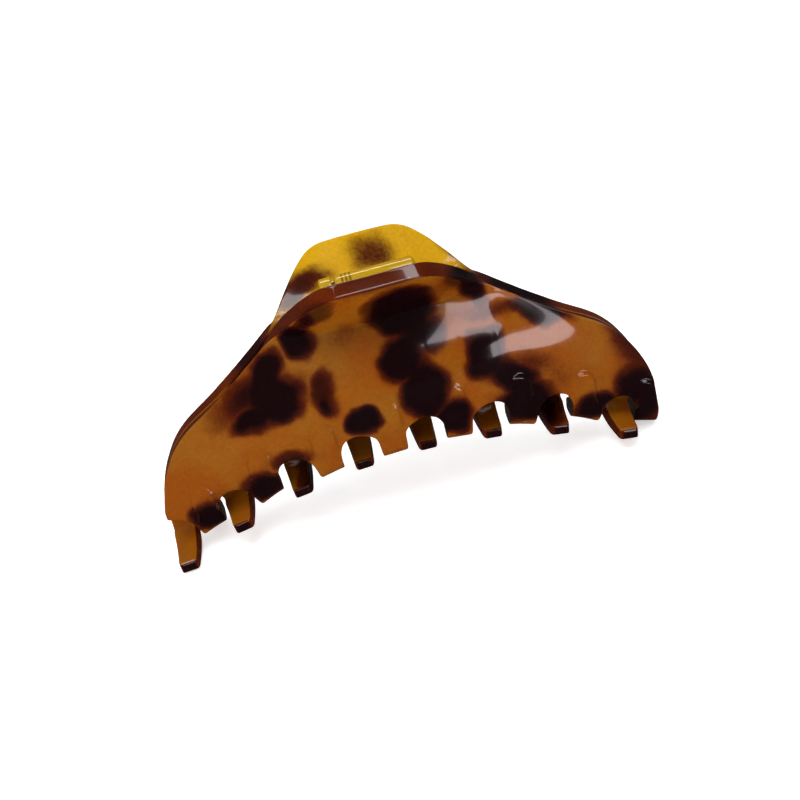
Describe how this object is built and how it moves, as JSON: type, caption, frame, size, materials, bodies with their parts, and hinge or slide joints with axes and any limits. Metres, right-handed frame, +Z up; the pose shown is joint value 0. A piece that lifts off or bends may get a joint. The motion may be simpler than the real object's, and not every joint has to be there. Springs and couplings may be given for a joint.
{
  "type": "claw clip",
  "caption": "Sprung hair claw: two identical curved jaws of thick tortoiseshell plastic with interlocking inward-hooked teeth, hinged between flared handles.",
  "frame": {"origin": "centre of the closed clip's bounding box at its lowest tooth tips, where it stands", "axes": "+X along the clip and its hinge pin, +Y from the front jaw towards the back jaw, +Z up to the handles"},
  "size_m": [0.0968, 0.0322, 0.0491],
  "materials": {
    "jaw_front": "polished tortoiseshell sheet",
    "jaw_back": "polished tortoiseshell sheet",
    "hinge_amber": "clear amber plastic",
    "knuckle_amber": "clear amber plastic",
    "pin_steel": "drawn steel",
    "spring_steel": "spring wire"
  },
  "bodies": {
    "front": {"front_jaw": "jaw_front", "hinge_barrel": "hinge_amber", "hinge_pin": "pin_steel", "torsion_spring": "spring_steel"},
    "back": {"back_jaw": "jaw_back", "hinge_knuckle": "knuckle_amber"}
  },
  "joints": [
    {"name": "jaw_hinge", "type": "hinge", "parent": "front", "child": "back", "pos_m": [0, 0, 0.0434], "axis": [1, 0, 0], "range_deg": [0, 75], "stiffness_Nm_per_rad": 0.15, "springref_deg": -45.84, "deforming": ["torsion_spring"]}
  ]
}
